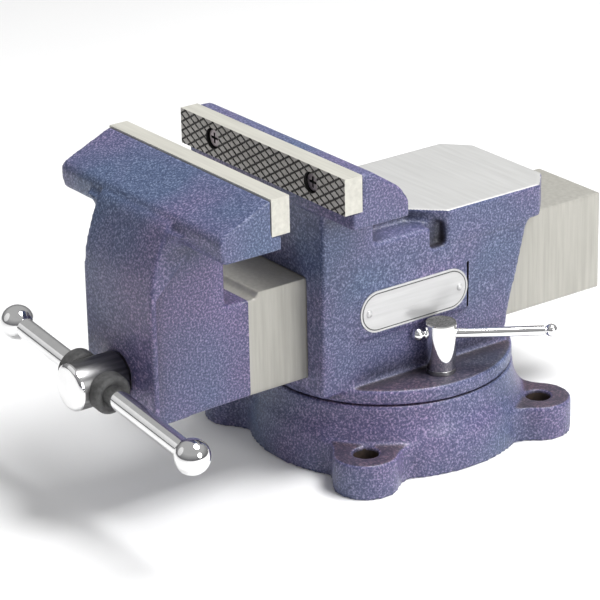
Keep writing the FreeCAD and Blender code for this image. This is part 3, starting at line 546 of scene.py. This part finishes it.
def jaw_plate(name, node, body, face_sign):
    """Plate with a grooved face and two screw bores; face_sign is the way the face looks on Y."""
    low, high = box_of(node)
    face = high.y if face_sign > 0 else low.y
    back = low.y if face_sign > 0 else high.y
    build = bmesh.new()
    front = grooved_face(build, low, high, face, face_sign)
    rim = front[0] + [line[-1] for line in front[1:]] + front[-1][-2::-1]
    rim += [line[0] for line in front[-2:0:-1]]
    behind = [build.verts.new(Vector((v.co.x, back * MM, v.co.z))) for v in rim]
    for index in range(len(rim)):
        after = (index + 1) % len(rim)
        build.faces.new((rim[index], behind[index], behind[after], rim[after]))
    build.faces.new(behind)
    bmesh.ops.recalc_face_normals(build, faces=build.faces)
    obj = new_object(name, built(build, name), PLATE_MATERIALS)
    screw_z = high.z - SCREW_DROP
    for side in (-1, 1):
        bore = turned(name + "_bore", [(BORE_FROM, BORE_RADIUS), (BORE_TO, BORE_RADIUS)],
                      (side * SCREW_X, face, screw_z), (0, -face_sign, 0), ["black"],
                      segments=48)
        cut(obj, bore)
    shade(obj, PLATE_SHARP_ANGLE)
    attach(obj, body)
    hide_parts(node)


def crossed_screw(name, centre, face_sign):
    """One countersunk screw with a crossed recess; centre is the middle of its outer end."""
    x, outer, z = centre
    screw = turned(name, SCREW_PROFILE, centre, (0, -face_sign, 0), ["screw", "black"])
    near, far = sorted((outer + face_sign, outer - face_sign * CROSS_DEPTH))
    for wide, tall in ((CROSS_LONG, CROSS_SHORT), (CROSS_SHORT, CROSS_LONG)):
        cut(screw, cutter("slot", (x - wide, near, z - tall), (x + wide, far, z + tall)))
    return screw


def plate_screws(name, node, body, face_sign):
    """Two countersunk screws in one piece, sunk in the plate."""
    low, high = box_of(node)
    outer = high.y if face_sign > 0 else low.y
    middle_z = (low.z + high.z) / 2
    made = [crossed_screw(name + "_one", (side * SCREW_X, outer, middle_z), face_sign)
            for side in (-1, 1)]
    build = bmesh.new()
    for screw in made:
        build.from_mesh(screw.data)
        bpy.data.objects.remove(screw)
    obj = new_object(name, built(build, name), ["screw", "black"])
    centres, _ = face_places(obj.data)
    depth = np.abs(centres[:, 1] - outer)
    off_axis = np.hypot(np.abs(centres[:, 0]) - SCREW_X, centres[:, 2] - middle_z)
    # The crossed recesses are painted black as painted shade.
    sunk = (depth > CROSS_SHADE_DEPTHS[0]) & (depth < CROSS_SHADE_DEPTHS[1])
    paint(obj, (sunk & (off_axis < CROSS_REACH)).astype(int))
    shade(obj, PLATE_SHARP_ANGLE)
    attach(obj, body)
    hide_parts(node)


jaw_plate("rear_plate", "rear_jaw_plate", "vise_body", -1)
jaw_plate("front_plate", "front_jaw_plate", "front_jaw", 1)
plate_screws("rear_screws", "rear_jaw_screws", "vise_body", -1)
plate_screws("front_screws", "front_jaw_screws", "front_jaw", 1)


# ---------------------------------------------------------------- nameplate

PLATE_END_STEPS = 24
# Each layer: how far its back and its front lie inside the plate's, its inset, and its slot.
PLATE_LAYERS = [(0.0, 0.08, 0.0, 0), (0.1, 0.04, 1.1, 1), (0.2, 0.0, 1.7, 0)]


def stadium(build, low, high, start, end, inset, slot):
    """Prism with round ends, standing on X, set in from the plate's outline."""
    radius = (high.z - low.z) / 2 - inset
    middle = (low.z + high.z) / 2
    half = (high.y - low.y - (high.z - low.z)) / 2
    centre = (low.y + high.y) / 2
    outline = []
    for end_y, first in ((centre + half, -90.0), (centre - half, 90.0)):
        for step in range(PLATE_END_STEPS + 1):
            angle = math.radians(first + 180.0 * step / PLATE_END_STEPS)
            outline.append((end_y + radius * math.cos(angle),
                            middle + radius * math.sin(angle)))
    bottom = [build.verts.new(Vector((start, y, z)) * MM) for y, z in outline]
    top = [build.verts.new(Vector((end, y, z)) * MM) for y, z in outline]
    faces = [build.faces.new(bottom[::-1]), build.faces.new(top)]
    for index in range(len(outline)):
        after = (index + 1) % len(outline)
        faces.append(build.faces.new((bottom[index], bottom[after], top[after], top[index])))
    for face in faces:
        face.material_index = slot


def nameplate():
    """Blank polished plate with a thin dark line set in from its edge."""
    low, high = box_of("nameplate")
    build = bmesh.new()
    for back, front, inset, slot in PLATE_LAYERS:
        stadium(build, low, high, low.x + back, high.x - front, inset, slot)
    obj = new_object("name_badge", built(build, "name_badge"), ["polished", "border"])
    shade(obj)
    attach(obj, "vise_body")
    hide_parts("nameplate")


nameplate()


# ---------------------------------------------------------------- spindle and handle

SPINDLE_Z = JOINTS["spindle_turn"]["pos_m"][2] / MM
HANDLE_AXIS = Vector(JOINTS["handle_slide"]["axis"]).normalized()
LEFT_BALL, RIGHT_BALL = middle_of("handle_ball_left"), middle_of("handle_ball_right")
HANDLE_CENTRE = Vector((0.0, LEFT_BALL.y, SPINDLE_Z))
HANDLE_BALL_RADIUS = 9.7
HANDLE_BAR_RADIUS = 5.6
HEAD_BORE_RADIUS = 5.7
HEAD_BORE_HALF = 20.0

THREAD_PITCH = 5.0
THREAD_DEPTH = 2.0
THREAD_START = -104.0
THREAD_STEPS = 8
THREAD_SEGMENTS = 48
CREST, FLANK = 0.3, 0.4
TIP_DROP = 2.5

# From the spindle outwards: inner edge, rolled rim, dished outer face.
BUMPER_PROFILE = ([(9.6, 8.0), (10.4, 10.2)] + arc((11.8, 9.5), 1.5, 120.0, 90.0, 3)
                  + arc((17.4, 9.0), 2.0, 90.0, 0.0, 8) + [(18.6, 7.6), (16.8, 5.75)])


def along_handle(point):
    return (Vector(point) - HANDLE_CENTRE).dot(HANDLE_AXIS)


def spindle_head():
    """Round head with a bright domed end and a cross bore."""
    low, high = box_of("spindle_head")
    length = high.y - low.y
    radius = (high.z - low.z) / 2
    profile = [(0.0, radius - 2.4), (0.35, radius - 1.2), (1.4, radius - 0.15), (2.4, radius),
               (length - 1.2, radius), (length, radius - 0.8)]
    head = turned("spindle_knob", profile, (0, low.y, SPINDLE_Z), (0, 1, 0),
                  ["dark_steel", "chrome"], [1, 1, 1, 0, 0], 96)
    bore = turned("bore", [(-HEAD_BORE_HALF, HEAD_BORE_RADIUS),
                           (HEAD_BORE_HALF, HEAD_BORE_RADIUS)],
                  HANDLE_CENTRE, HANDLE_AXIS, ["black"])
    cut(head, bore)
    shade(head)
    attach(head, "spindle")
    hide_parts("spindle_head")


def thread_cut(y, share):
    """Depth of the right-hand thread at a distance and a share of a turn."""
    phase = abs((y / THREAD_PITCH - share) % 1.0 - 0.5) * 2.0
    return THREAD_DEPTH * min(max((phase - CREST) / FLANK, 0.0), 1.0)


def spindle_screw():
    """Plain journal that turns into a right-hand thread."""
    low, high = box_of("spindle_screw")
    radius = (high.z - low.z) / 2
    stops = [low.y, THREAD_START - 1.0]
    count = int((high.y - 1.0 - THREAD_START) / THREAD_PITCH * THREAD_STEPS)
    stops += [THREAD_START + index * THREAD_PITCH / THREAD_STEPS for index in range(count + 1)]
    stops.append(high.y)
    build = bmesh.new()
    rings = []
    for y in stops:
        ring = []
        for step in range(THREAD_SEGMENTS):
            angle = 2 * math.pi * step / THREAD_SEGMENTS
            drop = thread_cut(y, step / THREAD_SEGMENTS) if y >= THREAD_START else 0.0
            reach = radius - (drop if y < high.y else TIP_DROP)
            ring.append(build.verts.new(Vector((
                reach * math.sin(angle), y, SPINDLE_Z + reach * math.cos(angle))) * MM))
        rings.append(ring)
    for near, far in zip(rings, rings[1:]):
        for step in range(THREAD_SEGMENTS):
            after = (step + 1) % THREAD_SEGMENTS
            build.faces.new((near[step], near[after], far[after], far[step]))
    build.faces.new(rings[0][::-1])
    build.faces.new(rings[-1])
    bmesh.ops.recalc_face_normals(build, faces=build.faces)
    obj = new_object("spindle_thread", built(build, "spindle_thread"), ["steel"])
    shade(obj, 40.0)
    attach(obj, "spindle")
    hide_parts("spindle_screw")


def handle():
    """Plain bar with a ball on each end."""
    left, right = along_handle(LEFT_BALL), along_handle(RIGHT_BALL)
    bar = turned("handle_rod", [(left, HANDLE_BAR_RADIUS), (right, HANDLE_BAR_RADIUS)],
                 HANDLE_CENTRE, HANDLE_AXIS, ["chrome"])
    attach(bar, "handle")
    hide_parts("handle_bar")
    for name, distance in (("left", left), ("right", right)):
        knob = turned("handle_end_" + name, ball(distance, HANDLE_BALL_RADIUS),
                      HANDLE_CENTRE, HANDLE_AXIS, ["chrome"])
        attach(knob, "handle")
        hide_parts("handle_ball_" + name)


def bumpers():
    """Rubber rings with rolled edges and a dished outer face."""
    for name, sign in (("left", -1), ("right", 1)):
        ring = turned("bumper_" + name, BUMPER_PROFILE, HANDLE_CENTRE, HANDLE_AXIS * sign,
                      ["rubber"])
        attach(ring, "spindle")
        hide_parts("handle_ring_" + name)


spindle_head()
spindle_screw()
handle()
bumpers()


# ---------------------------------------------------------------- swivel locks

BARREL_FOOT = 51.4
STUD_RADIUS = 5.9
LEVER_HALF = 36.5
LEVER_ROD_RADIUS = 2.8
LEVER_KNOB_RADIUS = 3.6
LEVER_KNOB_NECK = 3.9
# Points of a knob's profile that lie inside the rod.
LEVER_KNOB_SKIP = 5
RIGHT_LEVER_ANGLE = math.radians(56.0)


def lock(name):
    """Nearly straight barrel with a rough top and a stud below."""
    pivot = JOINTS["lock_turn_" + name]["pos_m"]
    low, high = box_of("lock_screw_" + name)
    centre = (pivot[0] / MM, pivot[1] / MM, 0.0)
    top, radius, foot = high.z, (high.x - low.x) / 2, BARREL_FOOT
    profile = [(low.z, STUD_RADIUS), (foot - 0.01, STUD_RADIUS), (foot, 7.6),
               (foot + 0.6, 7.9), (top - 9.0, 8.5), (top - 3.0, radius), (top - 1.0, radius),
               (top - 0.3, radius - 0.5), (top - 0.3, radius - 0.9), (top - 0.5, radius - 1.1)]
    bands = [0] * (len(profile) - 3) + [1, 1]
    barrel = turned("lock_barrel_" + name, profile, centre, (0, 0, 1), ["chrome", "rough"],
                    bands, 96)
    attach(barrel, "lock_" + name)
    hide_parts("lock_screw_" + name)


def lever(name, body, direction):
    """Cross bar with a small knob on each end."""
    neck = LEVER_HALF - LEVER_KNOB_NECK
    profile = ball(-LEVER_HALF, LEVER_KNOB_RADIUS)[:-LEVER_KNOB_SKIP]
    profile += [(-neck, LEVER_ROD_RADIUS), (neck, LEVER_ROD_RADIUS)]
    profile += ball(LEVER_HALF, LEVER_KNOB_RADIUS)[LEVER_KNOB_SKIP:]
    bar = turned("lock_bar_" + name, profile, middle_of("lock_lever_" + name), direction,
                 ["chrome"], segments=40)
    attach(bar, body)
    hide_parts("lock_lever_" + name)


lock("right")
lock("left")
lever("right", "lock_right", (math.cos(RIGHT_LEVER_ANGLE), math.sin(RIGHT_LEVER_ANGLE), 0.0))
lever("left", "lever_left", (0.0, 1.0, 0.0))


# ---------------------------------------------------------------- CAD nodes that stay

KEPT = {
    "nameplate_rivets": "polished", "spindle_nut": "steel", "spindle_nut_bolt": "black",
    "thrust_washer": "steel", "retaining_spring": "black", "retaining_collar": "black",
    "collar_pin": "steel", "lock_washer_right": "steel", "lock_washer_left": "steel",
    "clamp_nut_right": "steel", "clamp_nut_left": "steel",
}
for node_name, material_name in KEPT.items():
    for slot in NODES[node_name].material_slots:
        slot.link = "OBJECT"
        slot.material = MATERIALS[material_name]


# ---------------------------------------------------------------- floor, light, camera
# The floor's and lights' lengths are in metres, the camera's in millimetres and degrees.

FLOOR_HALF = 4
FLOOR_Z = -0.0003

LIGHT_AIM = (0.0, -0.03, 0.09)
# Each light: name, place, diameter, watts.
LIGHTS = [("key", (0.5, 0.4, 1.7), 0.9, 40.0),
          ("side", (1.6, 0.3, 0.7), 0.8, 10.0),
          ("fill", (-0.9, -1.3, 0.8), 1.2, 1.5)]

CAMERA_ANGLES = (54.1998, 22.3056, -1.2181)
CAMERA_AIM = (0.0, -43.0, 116.0)
CAMERA_SHIFT = (-12.2098, -28.6681)
CAMERA_DISTANCE = 1668.836
CAMERA_SENSOR = 36.0
CAMERA_LENS = 182.773

SKY_LOW = (0.30, 0.30, 0.32)
SKY_HIGH = (1.0, 1.0, 1.0)
SKY_HIGH_FROM = 0.55
SKY_STRENGTH = 0.45


def floor():
    corners = [(-FLOOR_HALF, -FLOOR_HALF, FLOOR_Z), (FLOOR_HALF, -FLOOR_HALF, FLOOR_Z),
               (FLOOR_HALF, FLOOR_HALF, FLOOR_Z), (-FLOOR_HALF, FLOOR_HALF, FLOOR_Z)]
    mesh = bpy.data.meshes.new("floor")
    mesh.from_pydata(corners, [], [(0, 1, 2, 3)])
    plane = bpy.data.objects.new("floor", mesh)
    bpy.context.scene.collection.objects.link(plane)
    shader = Shader("floor", 0.0, 0.85)
    shader.colour(shader.ramp(shader.noise(3.0), [(0.3, grey(0.86)), (0.7, grey(0.88))]))
    mesh.materials.append(shader.material)


def soft_light(name, place, size, power):
    """Round area light aimed at the middle of the object."""
    light = bpy.data.lights.new(name, "AREA")
    light.shape = "DISK"
    light.size = size
    light.energy = power
    lamp = bpy.data.objects.new(name, light)
    lamp.location = place
    aim = Vector(LIGHT_AIM) - Vector(place)
    lamp.rotation_mode = "QUATERNION"
    lamp.rotation_quaternion = aim.to_track_quat("-Z", "Y")
    bpy.context.scene.collection.objects.link(lamp)


def camera():
    """Long lens from the front right, slightly above and slightly rolled."""
    azimuth, elevation, roll = (math.radians(angle) for angle in CAMERA_ANGLES)
    right = Vector((math.cos(azimuth), math.sin(azimuth), 0.0))
    up = Vector((-math.sin(azimuth) * math.sin(elevation),
                 math.cos(azimuth) * math.sin(elevation), math.cos(elevation)))
    back = Vector((math.sin(azimuth) * math.cos(elevation),
                   -math.cos(azimuth) * math.cos(elevation), math.sin(elevation)))
    across = math.cos(roll) * right + math.sin(roll) * up
    above = -math.sin(roll) * right + math.cos(roll) * up
    place = (Vector(CAMERA_AIM) + CAMERA_SHIFT[0] * across + CAMERA_SHIFT[1] * above
             + CAMERA_DISTANCE * back)
    turn = Matrix((across, above, back)).transposed().to_4x4()
    data = bpy.data.cameras.new("camera")
    data.sensor_width = CAMERA_SENSOR
    data.lens = CAMERA_LENS
    view = bpy.data.objects.new("camera", data)
    view.matrix_world = Matrix.Translation(place * MM) @ turn
    bpy.context.scene.collection.objects.link(view)
    bpy.context.scene.camera = view


def studio():
    """Plain sky, bright overhead and dimmer towards the horizon."""
    world = bpy.data.worlds.new("studio")
    world.use_nodes = True
    tree = world.node_tree
    parts = tree.nodes.new("ShaderNodeSeparateXYZ")
    direction = tree.nodes.new("ShaderNodeTexCoord").outputs["Generated"]
    tree.links.new(direction, parts.inputs["Vector"])
    ramp = tree.nodes.new("ShaderNodeValToRGB")
    stops = ((0.0, SKY_LOW), (SKY_HIGH_FROM, SKY_HIGH))
    for element, (position, colour) in zip(ramp.color_ramp.elements, stops):
        element.position = position
        element.color = (*colour, 1.0)
    tree.links.new(parts.outputs["Z"], ramp.inputs["Fac"])
    background = tree.nodes["Background"]
    background.inputs["Strength"].default_value = SKY_STRENGTH
    tree.links.new(ramp.outputs["Color"], background.inputs["Color"])
    bpy.context.scene.world = world


floor()
for light_name, light_place, light_size, light_power in LIGHTS:
    soft_light(light_name, light_place, light_size, light_power)
camera()
studio()
bpy.context.scene.view_settings.view_transform = "Standard"
